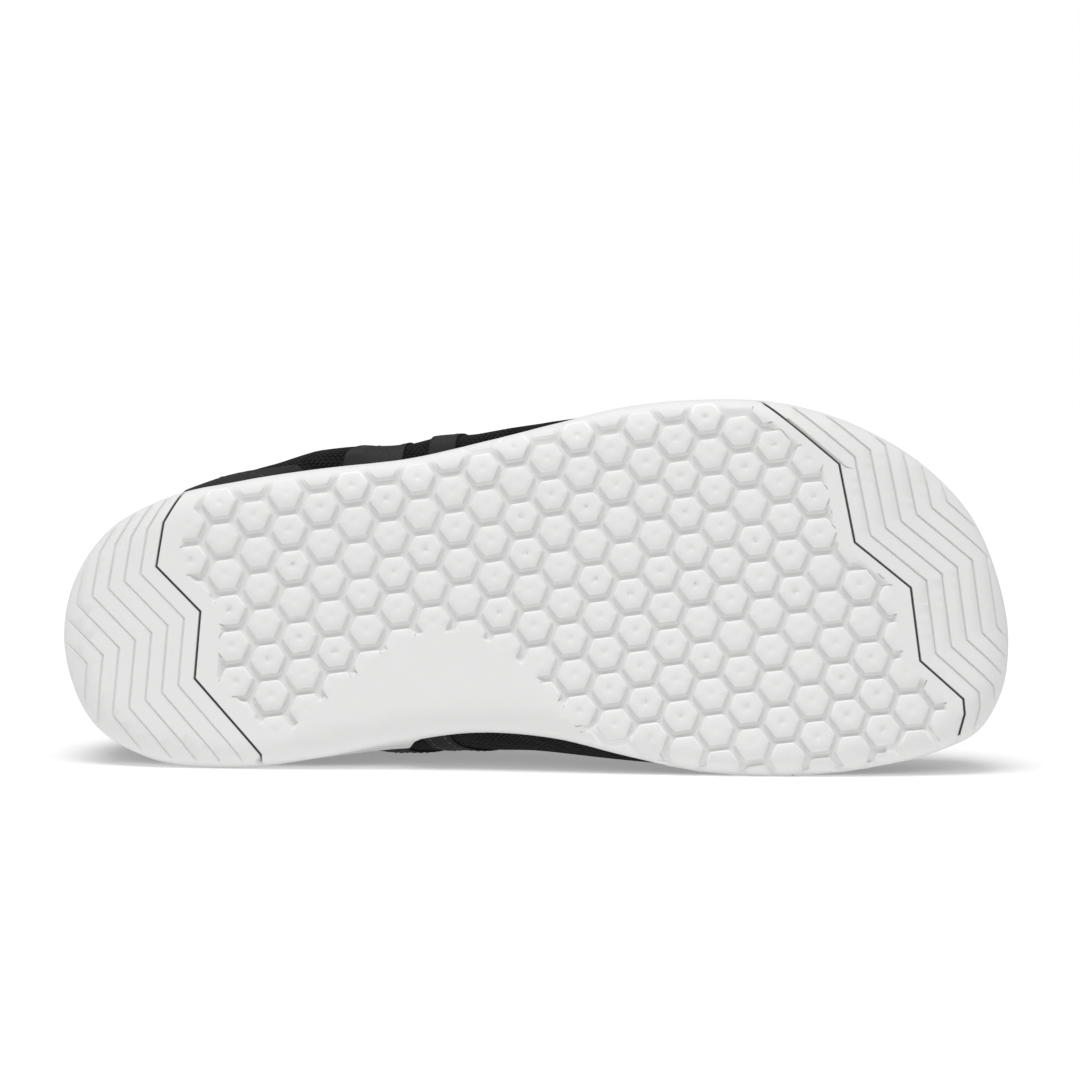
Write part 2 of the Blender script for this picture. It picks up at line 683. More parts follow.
def applied(mesh, *modifiers):
    """A mesh with modifiers applied in order. Each is a kind and its settings."""
    helper = linked("helper", mesh)
    for kind, settings in modifiers:
        modifier = helper.modifiers.new(kind.title(), kind)
        for name, value in settings.items():
            setattr(modifier, name, value)
    bpy.context.view_layer.update()
    shaped = helper.evaluated_get(bpy.context.evaluated_depsgraph_get())
    result = bpy.data.meshes.new_from_object(shaped)
    bpy.data.objects.remove(helper)
    return result


def soft_bevel(width, segments):
    """A bevel of the sharp edges, as a kind of modifier and its settings."""
    return "BEVEL", {"width": width, "segments": segments, "limit_method": "ANGLE",
                     "angle_limit": SOFT_EDGE}


def cad_quads(node):
    """A CAD node's mesh in the shoe's own frame, merged and back in quads."""
    bm = bmesh.new()
    bm.from_mesh(frame["nodes"][node].data)
    bmesh.ops.remove_doubles(bm, verts=bm.verts, dist=1e-6)
    bmesh.ops.transform(bm, matrix=UPRIGHT, verts=bm.verts)
    wide = math.radians(60.0)
    bmesh.ops.join_triangles(bm, faces=bm.faces, angle_face_threshold=wide, angle_shape_threshold=wide)
    return mesh_of(bm, node + "_copy")


def coordinates(mesh):
    """Places of a mesh's vertices as an array."""
    flat = np.empty(len(mesh.vertices) * 3)
    mesh.vertices.foreach_get("co", flat)
    return flat.reshape(-1, 3)


def normals_of(mesh):
    """Normals of a mesh's vertices as an array."""
    flat = np.empty(len(mesh.vertices) * 3)
    mesh.vertices.foreach_get("normal", flat)
    return flat.reshape(-1, 3)


def move_to(mesh, places):
    """Put a mesh's vertices at new places."""
    mesh.vertices.foreach_set("co", np.asarray(places, float).ravel())
    mesh.update()


def paint(mesh, name, values):
    """Store one number for each vertex under a name that the materials read."""
    layer = mesh.attributes.new(name, "FLOAT", "POINT")
    layer.data.foreach_set("value", np.asarray(values, float))


class Graph:
    """Adds nodes and links to one tree."""

    def __init__(self, tree):
        self.tree = tree

    def add(self, kind, links=None, **settings):
        """A node with its settings, and values or links for its inputs."""
        node = self.tree.nodes.new(kind)
        for name, value in settings.items():
            setattr(node, name, value)
        for name, value in (links or {}).items():
            if isinstance(value, bpy.types.NodeSocket):
                self.tree.links.new(value, node.inputs[name])
            else:
                node.inputs[name].default_value = value
        return node

    def count(self, operation, *values):
        """A math node's result."""
        return self.add("ShaderNodeMath", dict(enumerate(values)), operation=operation).outputs[0]

    def times(self, first, second):
        """Two numbers multiplied."""
        return self.count("MULTIPLY", first, second)

    def plus(self, first, second):
        """Two numbers added."""
        return self.count("ADD", first, second)

    def feed(self, result, node, label):
        """Link a result to one of a node's inputs."""
        self.tree.links.new(result, node.inputs[label])

    def effect(self, name, **values):
        """The outputs of an effect's node group, placed with its own values."""
        node = self.add("ShaderNodeGroup", node_tree=effect_group(name))
        for label, value in values.items():
            node.inputs[label].default_value = value
        return node.outputs

    def mix(self, share, low, high):
        """A colour between two."""
        node = self.add("ShaderNodeMix", {0: share, 6: low, 7: high}, data_type="RGBA")
        return node.outputs[2]

    def attribute(self, name):
        """A number stored on the vertices."""
        return self.add("ShaderNodeAttribute", attribute_name=name).outputs["Fac"]

    def place(self):
        """Object coordinates."""
        return self.add("ShaderNodeTexCoord").outputs["Object"]

    def noise(self, size, detail=2.0, roughness=0.5):
        """Noise with lumps of about the given size in metres."""
        links = {"Vector": self.place(), "Scale": 1 / size, "Detail": detail, "Roughness": roughness}
        return self.add("ShaderNodeTexNoise", links).outputs[0]

    def span(self, value, low, high, new_low=0.0, new_high=1.0):
        """A number moved from one range to another."""
        links = {0: value, 1: low, 2: high, 3: new_low, 4: new_high}
        return self.add("ShaderNodeMapRange", links).outputs[0]


def fill_knit(graph, sources):
    """Interlaced yarn in space: three waves that cross, so that it fits any slope."""
    per_metre = graph.count("DIVIDE", 2 * math.pi, sources["Pitch"])
    scaled = graph.add("ShaderNodeVectorMath", {0: graph.place()}, operation="SCALE")
    graph.feed(per_metre, scaled, "Scale")
    axes = graph.add("ShaderNodeSeparateXYZ", {0: scaled.outputs[0]}).outputs
    total = None
    for here, there in (("X", "Y"), ("Y", "Z"), ("Z", "X")):
        sine = graph.count("SINE", axes[here])
        cosine = graph.count("COSINE", axes[there])
        product = graph.times(sine, cosine)
        total = product if total is None else graph.plus(total, product)
    weave = graph.span(total, -1.2, 1.2)
    fuzz = graph.noise(0.00035, 3.0, 0.7)
    height = graph.plus(weave, graph.times(fuzz, sources["Fuzz"]))
    return {"Height": height, "Yarn": weave}


def fill_patches(graph, sources):
    """Broad and fine unevenness of colour, from 0 to 1."""
    broad = graph.noise(0.040, 3.0, 0.6)
    fine = graph.noise(0.0030, 4.0, 0.65)
    both = graph.plus(graph.times(broad, 0.6), graph.times(fine, 0.4))
    centred = graph.times(graph.count("SUBTRACT", both, 0.5), sources["Contrast"])
    return {"Patches": graph.plus(centred, 0.5)}


def fill_specks(graph, sources):
    """Few small dark specks, as dirt leaves them on a sole."""
    cells = graph.add("ShaderNodeTexVoronoi", {"Vector": graph.place()}, feature="F1")
    graph.feed(graph.count("DIVIDE", 1.0, sources["Spacing"]), cells, "Scale")
    near = graph.span(cells.outputs["Distance"], 0.020, 0.045, 1.0, 0.0)
    tone = graph.add("ShaderNodeSeparateColor", {0: cells.outputs["Color"]}).outputs[0]
    chosen = graph.span(tone, 0.80, 0.84)
    return {"Specks": graph.times(near, chosen)}


# Effects that materials share: inputs, outputs and what fills the group
EFFECTS = {
    "interlaced_yarn": (("Pitch", "Fuzz"), ("Height", "Yarn"), fill_knit),
    "uneven_colour": (("Contrast",), ("Patches",), fill_patches),
    "dirt_specks": (("Spacing",), ("Specks",), fill_specks),
}


def effect_group(name):
    """An effect's shader node group with named inputs and outputs, built once."""
    found = bpy.data.node_groups.get(name)
    if found:
        return found
    inputs, outputs, fill = EFFECTS[name]
    group = bpy.data.node_groups.new(name, "ShaderNodeTree")
    for label in inputs:
        group.interface.new_socket(label, in_out="INPUT", socket_type="NodeSocketFloat")
    for label in outputs:
        group.interface.new_socket(label, in_out="OUTPUT", socket_type="NodeSocketFloat")
    graph = Graph(group)
    source = graph.add("NodeGroupInput")
    target = graph.add("NodeGroupOutput")
    for label, result in fill(graph, source.outputs).items():
        graph.feed(result, target, label)
    return group


def new_material(name, roughness, **constants):
    """A material, its graph and its shader, with constant values on the shader's sockets."""
    material = bpy.data.materials.new(name)
    material.use_nodes = True
    shader = material.node_tree.nodes["Principled BSDF"]
    shader.inputs["Roughness"].default_value = roughness
    for label, value in constants.items():
        shader.inputs[label.replace("_", " ")].default_value = value
    return material, Graph(material.node_tree), shader


def relief(graph, shader, height, strength, distance):
    """Feed a height to the shader's normal."""
    links = {"Height": height, "Strength": strength, "Distance": distance}
    bump = graph.add("ShaderNodeBump", links)
    graph.feed(bump.outputs[0], shader, "Normal")


def shade(colour, factor):
    """A colour made darker or lighter, with alpha."""
    return (*[channel * factor for channel in colour], 1.0)


def rubber_material(colours):
    """Matt rubber, greyer in its grooves, dark in the two parting lines."""
    material, graph, shader = new_material("sole_rubber", 0.5, Specular_IOR_Level=0.4)
    patches = graph.effect("uneven_colour", Contrast=0.9)["Patches"]
    tone = graph.mix(patches, shade(colours.rubber, 0.955), shade(colours.rubber, 1.0))
    dirt = graph.effect("dirt_specks", Spacing=0.011)["Specks"]
    crumbs = graph.span(graph.noise(0.0011, 3.0, 0.7), 0.56, 0.66)
    layers = (
        (graph.times(graph.attribute("groove"), 0.30), colours.groove),
        (graph.times(graph.attribute("lower_wall"), 0.36), colours.wall),
        (graph.attribute("upper_rim"), colours.rim),
        (graph.attribute("dark_line"), colours.line),
        (graph.times(dirt, 0.55), colours.line),
        (graph.times(graph.times(graph.attribute("scuff"), crumbs), 0.5), colours.line),
    )
    for share, over in layers:
        tone = graph.mix(share, tone, (*over, 1.0))
    graph.feed(tone, shader, "Base Color")
    fine = graph.noise(0.0009, 4.0, 0.6)
    graph.feed(graph.span(fine, 0.3, 0.7, 0.44, 0.58), shader, "Roughness")
    rough = graph.times(graph.attribute("scuff"), graph.noise(0.0012, 3.0, 0.7))
    soft = graph.plus(fine, graph.noise(0.006, 2.0, 0.5))
    relief(graph, shader, graph.plus(soft, graph.times(rough, 4.0)), 0.3, 0.00012)
    return material


def knit_material(name, colour, pitch, depth):
    """Knitted textile with soft sheen."""
    material, graph, shader = new_material(name, 0.9, Sheen_Weight=0.03, Sheen_Roughness=0.5,
                                           Specular_IOR_Level=0.12)
    yarn = graph.effect("interlaced_yarn", Pitch=pitch, Fuzz=0.5)
    weave = graph.mix(yarn["Yarn"], shade(colour, 0.35), shade(colour, 1.35))
    darker = graph.mix(yarn["Yarn"], shade(colour, 0.25), shade(colour, 0.95))
    patches = graph.effect("uneven_colour", Contrast=1.2)["Patches"]
    graph.feed(graph.mix(patches, darker, weave), shader, "Base Color")
    relief(graph, shader, yarn["Height"], 0.9, depth)
    return material


def rib_material(colour, rib):
    """Rib knit whose ribs run up the cuff."""
    material, graph, shader = new_material("cuff_rib", 0.9, Sheen_Weight=0.08, Sheen_Roughness=0.5,
                                           Specular_IOR_Level=0.15)
    turns = graph.times(graph.attribute("way_round"), 2 * math.pi / rib)
    wave = graph.span(graph.count("SINE", turns), -1.0, 1.0)
    yarn = graph.effect("interlaced_yarn", Pitch=RIB_YARN, Fuzz=0.6)
    fine = graph.times(yarn["Height"], 0.25)
    share = graph.plus(graph.times(wave, 0.8), graph.times(fine, 0.6))
    final = graph.mix(share, shade(colour, 0.35), shade(colour, 1.4))
    graph.feed(final, shader, "Base Color")
    relief(graph, shader, graph.plus(wave, fine), 0.8, RIB_DEPTH)
    return material


def film_material(colour):
    """Smooth film with a satin gloss and a faint grain."""
    material, graph, shader = new_material("overlay_film", 0.6, Specular_IOR_Level=0.16)
    grain = graph.noise(0.0007, 3.0, 0.6)
    broad = graph.noise(0.012, 2.0, 0.5)
    final = graph.mix(broad, shade(colour, 0.75), shade(colour, 1.25))
    graph.feed(final, shader, "Base Color")
    graph.feed(graph.span(grain, 0.3, 0.7, 0.52, 0.68), shader, "Roughness")
    relief(graph, shader, graph.plus(grain, graph.times(broad, 6.0)), 0.35, 0.00015)
    return material


def thread_material(colour):
    """Twisted sewing thread."""
    material, graph, shader = new_material("sewing_thread", 0.7, Sheen_Weight=0.2)
    twist = graph.noise(0.0004, 2.0, 0.6)
    final = graph.mix(twist, shade(colour, 0.6), shade(colour, 1.3))
    graph.feed(final, shader, "Base Color")
    relief(graph, shader, twist, 0.5, 0.0001)
    return material


def length(name, description, metres):
    """A property that holds a length."""
    return FloatProperty(name=name, description=description, default=metres, unit="LENGTH",
                         subtype="DISTANCE")


def angle(name, description, degrees):
    """A property that holds an angle."""
    return FloatProperty(name=name, description=description, default=math.radians(degrees),
                         unit="ROTATION", subtype="ANGLE")


def factor(name, description, share):
    """A property that holds a share."""
    return FloatProperty(name=name, description=description, default=share, subtype="FACTOR")


def colour(name, description, red_green_blue):
    """A property that holds a colour."""
    return FloatVectorProperty(name=name, description=description, default=red_green_blue,
                               subtype="COLOR")


class ShoeSole(PropertyGroup):
    """Sizes of the tread's relief."""
    groove_depth: length("Groove depth", "Depth between the lugs", 0.0016)
    lug_width: length("Lug width", "Across a lug's flats", 0.00895)
    lug_corner: length("Lug corner", "Radius of a lug's corners", 0.0009)
    lug_bevel: length("Lug bevel", "Width of the soft edge on a lug", 0.00055)
    lug_wall: length("Lug wall", "How far a lug's wall slopes out", 0.00035)
    lug_crown: length("Lug crown", "How much a lug falls to its edge", 0.00012)
    dimple_radius: length("Dimple radius", "Radius of a lug's dimple", 0.0016)
    dimple_depth: length("Dimple depth", "Depth of a lug's dimple", 0.00055)
    dark_width: length("Parting line", "Half width of the dark lines", 0.00042)
    dark_depth: length("Parting depth", "Depth of the dark lines", 0.0007)
    fine_width: length("Fine line", "Half width of the fine lines", 0.00042)
    fine_depth: length("Fine depth", "Depth of the fine lines", 0.00060)
    fine_shade: factor("Fine shade", "How dark the fine lines are", 0.16)
    heel_tone: factor("Heel tone", "Shade of the heel's fine lines next to the toe's", 0.15)
    slit_width: length("Slit reach", "How far in from the field's border lug edges are dark", 0.0011)
    slit_shade: factor("Slit shade", "How dark those edges are", 0.65)


class ShoeTextile(PropertyGroup):
    """Sizes of the upper's trim."""
    film_thickness: length("Film", "Thickness of the overlays", 0.0005)
    mesh_pitch: length("Mesh pitch", "Distance between knit holes", 0.0016)
    rib_pitch: length("Rib pitch", "Distance between the cuff's ribs", 0.0021)
    stitch_pitch: length("Stitch pitch", "Distance between stitches", 0.0030)
    smoothness: IntProperty(name="Smoothness", description="Subdivision of the upper", default=2)


class ShoeColours(PropertyGroup):
    """Colours of the finishes."""
    rubber: colour("Rubber", "Sole", (0.775, 0.775, 0.77))
    groove: colour("Groove", "Rubber between the lugs", (0.70, 0.70, 0.695))
    wall: colour("Wall", "Lower walls of the lugs", (0.42, 0.42, 0.42))
    rim: colour("Rim", "Upper rims of the lugs", (0.97, 0.97, 0.97))
    line: colour("Line", "Parting lines", (0.045, 0.045, 0.045))
    knit: colour("Knit", "Upper", (0.013, 0.013, 0.014))
    film: colour("Film", "Overlays", (0.017, 0.017, 0.018))
    rib: colour("Rib", "Cuff", (0.026, 0.026, 0.028))
    footbed: colour("Footbed", "Insole", (0.12, 0.12, 0.125))
    thread: colour("Thread", "Stitches", (0.036, 0.036, 0.038))


class ShoeStage(PropertyGroup):
    """Camera, floor and light."""
    lens: FloatProperty(name="Lens", description="Focal length in millimetres", default=100.0)
    distance: length("Distance", "From the camera to the tread", 0.8822)
    lean: angle("Lean", "How far the tread leans from the camera", 18.74)
    swing: angle("Swing", "How far the camera stands towards the toe", 3.906)
    roll: angle("Roll", "Turn of the camera about its view", -0.315)
    sun: FloatProperty(name="Sun", description="Strength of the soft light from above", default=2.0)
    fill: FloatProperty(name="Fill", description="Power of the light in front", default=3.5)
    sky: FloatProperty(name="Sky", description="Strength of the even light", default=0.42)


class SHOE_OT_sole(Operator):
    """Make the sole with its lugs, lines and rand"""
    bl_idname = "shoe.sole"
    bl_label = "Sole"

    def execute(self, context):
        sizes = context.scene.shoe_sole
        shape = TreadShape(sizes)
        net = tread_net(shape)
        found = delaunay_2d_cdt(net.points, net.edges, [], 1, 1e-4)
        plan = np.array([point[:] for point in found[0]]) / MILLIMETRES
        height, *shares = shape.relief(plan)
        bm = bmesh.new()
        for name in TREAD_LAYERS:
            bm.verts.layers.float.new(name)
        bm.verts.layers.int.new("station")
        corners = [bm.verts.new((x, y, z)) for (x, y), z in zip(plan, height)]
        for triangle in found[2]:
            bm.faces.new([corners[place] for place in triangle][::-1])
        loose = [vertex for vertex in bm.verts if not vertex.link_faces]
        for name, values in zip(TREAD_LAYERS, shares):
            layer = bm.verts.layers.float[name]
            for vertex, value in zip(corners, values):
                vertex[layer] = value
        bmesh.ops.delete(bm, geom=loose, context="VERTS")
        self.raise_rand(bm)
        for vertex in bm.verts:
            vertex.co.z += float(lift(vertex.co.x))
        bmesh.ops.recalc_face_normals(bm, faces=bm.faces)
        bmesh.ops.transform(bm, matrix=SHOE, verts=bm.verts)
        mesh = mesh_of(bm, "lugged_sole")
        mesh.shade_smooth()
        mesh.set_sharp_from_angle(angle=SOFT_EDGE)
        material = rubber_material(context.scene.shoe_colours)
        new_object("lugged_sole", mesh, [material], "white_rubber", "outsole")
        return {"FINISHED"}

    def raise_rand(self, bm):
        """Draw the tread's rim up into the rand and down to the seat inside it."""
        rim = [edge for edge in bm.edges if edge.is_boundary]
        verts = {vertex for edge in rim for vertex in edge.verts}
        index, _ = nearest_edge(np.array([vertex.co.xy[:] for vertex in verts]))
        station_layer = bm.verts.layers.int["station"]
        for vertex, place in zip(verts, index):
            vertex[station_layer] = int(place)
        for share, depth in RAND_ROWS:
            grown = bmesh.ops.extrude_edge_only(bm, edges=rim)["geom"]
            rim = [item for item in grown if isinstance(item, bmesh.types.BMEdge)]
            for vertex in {item for item in grown if isinstance(item, bmesh.types.BMVert)}:
                place = vertex[station_layer]
                height = SEAT_HEIGHT
                if share is not None:
                    height = EDGE_RISE + share * (RAND_TOP[place] - EDGE_RISE)
                inset = depth + RAND_LEAN[place] * (height - SEAT_HEIGHT)
                vertex.co = (*(SOLE[place] - SOLE_NORMAL[place] * inset), height)
        ring = {vertex for edge in rim for vertex in edge.verts}
        ring = sorted(ring, key=lambda vertex: vertex[station_layer])
        count = len(ring)
        for here in range(count // 2):
            strip = [ring[here], ring[here + 1], ring[-here - 1], ring[-here % count]]
            bm.faces.new([v for place, v in enumerate(strip) if v not in strip[:place]])


def outward(places):
    """Unit directions out from a line through the middle of the shoe's inside."""
    along = np.clip(places[:, 0], CORE_HEIGHT[0][0], CORE_HEIGHT[-1][0])
    core = (along, looked_up(CORE_ACROSS, along), looked_up(CORE_HEIGHT, along))
    arm = places - np.column_stack(core)
    return arm / np.linalg.norm(arm, axis=1)[:, None]


def creased(places, normals, free):
    """Places moved in along the troughs and out over the swellings."""
    level = smooth_step((places[:, 2] - SLACK_GROWS[0]) / (SLACK_GROWS[1] - SLACK_GROWS[0]))
    level *= smooth_step((SLACK_DIES[1] - places[:, 2]) / (SLACK_DIES[1] - SLACK_DIES[0]))
    move = looked_up(SLACK, places[:, 0]) * level * (places[:, 1] < SLACK_SIDE)
    for start, end, width, depth in CREASES:
        start = np.array(start)
        run = np.array(end) - start
        share = np.clip(((places - start) @ run) / (run @ run), 0, 1)
        gap = np.linalg.norm(places - start - share[:, None] * run, axis=1)
        move -= depth * np.exp(-(gap / width) ** 2)
        move += depth * BANK_HEIGHT * np.exp(-((gap - BANK_PLACE * width) / width) ** 2)
    for middle, radius, height in PUFFS:
        gap = np.linalg.norm(places - np.array(middle), axis=1)
        move += height * smooth_step(1 - gap / radius)
    return places + normals * (move * free)[:, None]


UPPER = {}


class SHOE_OT_upper(Operator):
    """Make the knit upper with its creases"""
    bl_idname = "shoe.upper"
    bl_label = "Upper"

    def execute(self, context):
        textile = context.scene.shoe_textile
        levels = {"levels": textile.smoothness, "render_levels": textile.smoothness}
        mesh = applied(cad_quads("upper"), ("SUBSURF", levels))
        places = coordinates(mesh)
        normals = normals_of(mesh)
        index, inset = nearest_edge(places[:, :2])
        over = places[:, 2] - lift(places[:, 0]) - RAND_TOP[index]
        free = smooth_step((over - HELD_UP_TO) / FREE_OVER)
        faces_out = (normals * outward(places)).sum(1)[:, None] > 0
        move_to(mesh, creased(places, np.where(faces_out, normals, -normals), free))
        facing = np.array([face.normal[:] for face in mesh.polygons])
        centres = np.array([face.center[:] for face in mesh.polygons])
        inner = (facing * outward(centres)).sum(1) < -0.05
        mesh.polygons.foreach_set("material_index", inner.astype(int))
        mesh.shade_smooth()
        UPPER["mesh"] = mesh.copy()
        mesh.transform(SHOE)
        colours = context.scene.shoe_colours
        knit = knit_material("mesh_knit", colours.knit, textile.mesh_pitch, KNIT_DEPTH)
        lining = knit_material("lining_knit", shade(colours.footbed, 0.45)[:3], *LINING_KNIT)
        new_object("knit_upper", mesh, [knit, lining], "black_knit", "upper")
        return {"FINISHED"}


def outer_skin(proud):
    """The upper's outer faces alone, a little proud of it."""
    bm = bmesh.new()
    bm.from_mesh(UPPER["mesh"])
    lined = [face for face in bm.faces if face.material_index == 1]
    bmesh.ops.delete(bm, geom=lined, context="FACES")
    bm.normal_update()
    for vertex in bm.verts:
        vertex.co += vertex.normal * proud
    mesh = mesh_of(bm, "outer_skin")
    mesh.materials.clear()
    return mesh


def side_outline(spots):
    """An overlay's outline in the side view, with soft corners, in metres."""
    return rounded(np.array(spots) * (SOLE_LENGTH, INSTEP_HEIGHT))


def cropped(mesh, low, high, across_low, across_high):
    """A sheet's part between two places along the shoe and two across it."""
    bm = bmesh.new()
    bm.from_mesh(mesh)
    far = []
    for face in bm.faces:
        middle = face.calc_center_median()
        if not (low < middle.x < high and across_low < middle.y < across_high):
            far.append(face)
    bmesh.ops.delete(bm, geom=far, context="FACES")
    return mesh_of(bm, "skin_part")


def overlay_mesh(spots, skin, low, high, thickness):
    """The skin inside an outline, as a film with soft edges."""
    outline = side_outline(spots)
    part = cropped(skin, outline[:, 0].min() - CUT_MARGIN, outline[:, 0].max() + CUT_MARGIN,
                   low - CUT_MARGIN, high + CUT_MARGIN)
    solid = applied(part, ("SOLIDIFY", {"thickness": thickness, "offset": 1.0}))
    bm = bmesh.new()
    face = bm.faces.new([bm.verts.new((x, low, z)) for x, z in outline])
    grown = bmesh.ops.extrude_face_region(bm, geom=[face])["geom"]
    far = [item for item in grown if isinstance(item, bmesh.types.BMVert)]
    bmesh.ops.translate(bm, verts=far, vec=(0, high - low, 0))
    bmesh.ops.recalc_face_normals(bm, faces=bm.faces)
    block = linked("outline_block", mesh_of(bm, "outline_block"))
    cut = {"operation": "INTERSECT", "solver": "EXACT", "object": block}
    mesh = applied(solid, ("BOOLEAN", cut), soft_bevel(thickness * FILM_BEVEL, 2))
    bpy.data.objects.remove(block)
    return mesh


OVERLAYS = (
    ("heel_leaf", "heel_counter", HEEL_LEAF, -BALL_WIDTH, BALL_WIDTH),
    ("rear_film_outer", "outer_rear_band", REAR_BAND, -BALL_WIDTH, COLLAR_MIDDLE),
    ("rear_film_inner", "inner_rear_band", REAR_BAND, COLLAR_MIDDLE, BALL_WIDTH),
    ("front_film_outer", "outer_front_band", FRONT_BAND, -BALL_WIDTH, COLLAR_MIDDLE),
    ("front_film_inner", "inner_front_band", FRONT_BAND, COLLAR_MIDDLE, BALL_WIDTH),
)


class SHOE_OT_overlays(Operator):
    """Make the film overlays on the upper"""
    bl_idname = "shoe.overlays"
    bl_label = "Overlays"

    def execute(self, context):
        thickness = context.scene.shoe_textile.film_thickness
        film = film_material(context.scene.shoe_colours.film)
        skin = outer_skin(SKIN_HEIGHT)
        for name, node, spots, low, high in OVERLAYS:
            mesh = overlay_mesh(spots, skin, low, high, thickness)
            if not mesh.polygons:
                raise RuntimeError("empty overlay " + name)
            mesh.transform(SHOE)
            mesh.shade_smooth()
            mesh.set_sharp_from_angle(angle=math.radians(60.0))
            new_object(name, mesh, [film], "black_film", node)
        return {"FINISHED"}


def on_skin(tree, line, side):
    """Points and normals where a line of the side view meets the skin, or None."""
    found = []
    for along, up in line:
        start = Vector((along, side * BALL_WIDTH, up))
        place, normal, _, _ = tree.ray_cast(start, Vector((0, -side, 0)), BALL_WIDTH)
        found.append((place, normal) if place else None)
    return found


def inset_line(line, depth):
    """A closed line moved inward."""
    ahead = np.roll(line, -1, axis=0) - np.roll(line, 1, axis=0)
    normal = np.column_stack((-ahead[:, 1], ahead[:, 0]))
    normal /= np.linalg.norm(normal, axis=1)[:, None]
    area = (line[:, 0] * np.roll(line[:, 1], -1) - np.roll(line[:, 0], -1) * line[:, 1]).sum()
    return line + normal * depth * math.copysign(1.0, area)


def even_points(line, spacing):
    """Points at an even spacing round a closed line."""
    closed = np.vstack((line, line[:1]))
    way = np.concatenate(([0.0], np.cumsum(np.linalg.norm(np.diff(closed, axis=0), axis=1))))
    count = int(way[-1] / spacing)
    at = np.linspace(0, way[-1], count, endpoint=False)
    return np.column_stack([np.interp(at, way, closed[:, axis]) for axis in (0, 1)])


class SHOE_OT_stitches(Operator):
    """Sew the film overlays along their edges"""
    bl_idname = "shoe.stitches"
    bl_label = "Stitches"

    def execute(self, context):
        pitch = context.scene.shoe_textile.stitch_pitch
        thickness = context.scene.shoe_textile.film_thickness
        skin = outer_skin(thickness)
        bm = bmesh.new()
        bm.from_mesh(skin)
        tree = BVHTree.FromBMesh(bm)
        bm.free()
        seams = bmesh.new()
        rows = [(HEEL_LEAF, -1), (HEEL_LEAF, 1), (REAR_BAND, -1), (REAR_BAND, 1),
                (FRONT_BAND, -1), (FRONT_BAND, 1)]
        for spots, side in rows:
            line = even_points(inset_line(side_outline(spots), STITCH_INSET), pitch)
            found = on_skin(tree, line, side)
            for here, after in zip(found, found[1:] + found[:1]):
                if here is None or after is None or (after[0] - here[0]).length > pitch * 2:
                    continue
                self.add_stitch(seams, here, after)
        bmesh.ops.transform(seams, matrix=SHOE, verts=seams.verts)
        mesh = mesh_of(seams, "edge_stitches")
        mesh.shade_smooth()
        thread = thread_material(context.scene.shoe_colours.thread)
        new_object("edge_stitches", mesh, [thread], "black_film")
        return {"FINISHED"}

    def add_stitch(self, seams, here, after):
        """One stitch, a thin grain of thread half sunk in the film."""
        run = after[0] - here[0]
        middle = here[0] + run * 0.5
        normal = here[1]
        across = normal.cross(run).normalized()
        axes = Matrix((run.normalized(), across, normal)).transposed().to_4x4()
        grown = bmesh.ops.create_icosphere(seams, subdivisions=1, radius=1.0)
        size = Matrix.Diagonal((run.length * STITCH_SHARE, *STITCH_SIZE, 1.0))
        place = Matrix.Translation(middle + normal * STITCH_HEIGHT) @ axes @ size
        bmesh.ops.transform(seams, matrix=place, verts=grown["verts"])


class SHOE_OT_cuff(Operator):
    """Make the rib cuff round the collar"""
    bl_idname = "shoe.cuff"
    bl_label = "Cuff"

    def execute(self, context):
        textile = context.scene.shoe_textile
        mesh = applied(cad_quads("collar_cuff"), ("SUBSURF", {"levels": 3, "render_levels": 3}))
        places = coordinates(mesh)
        arm = (places[:, :2] - CUFF_MIDDLE) / CUFF_REACH
        turn = np.arctan2(arm[:, 1], arm[:, 0])
        fine = np.linspace(-math.pi, math.pi, 721)
        ring = np.column_stack((np.cos(fine), np.sin(fine))) * CUFF_REACH
        way = np.concatenate(([0.0], np.cumsum(np.linalg.norm(np.diff(ring, axis=0), axis=1))))
        ribs = round(way[-1] / textile.rib_pitch)
        paint(mesh, "way_round", np.interp(turn, fine, way / way[-1] * ribs * textile.rib_pitch))
        mesh.shade_smooth()
        mesh.transform(SHOE)
        rib = rib_material(context.scene.shoe_colours.rib, textile.rib_pitch)
        new_object("rib_cuff", mesh, [rib], "black_rib", "collar_cuff")
        return {"FINISHED"}


class SHOE_OT_footbed(Operator):
    """Make the footbed inside the shoe"""
    bl_idname = "shoe.footbed"
    bl_label = "Footbed"

    def execute(self, context):
        mesh = applied(cad_quads("insole"), soft_bevel(FOOTBED_BEVEL, 3))
        mesh.shade_smooth()
        mesh.set_sharp_from_angle(angle=math.radians(60.0))
        mesh.transform(SHOE)
        cloth = knit_material("footbed_cloth", context.scene.shoe_colours.footbed, *FOOTBED_KNIT)
        new_object("footbed", mesh, [cloth], "grey_footbed", "insole")
        return {"FINISHED"}


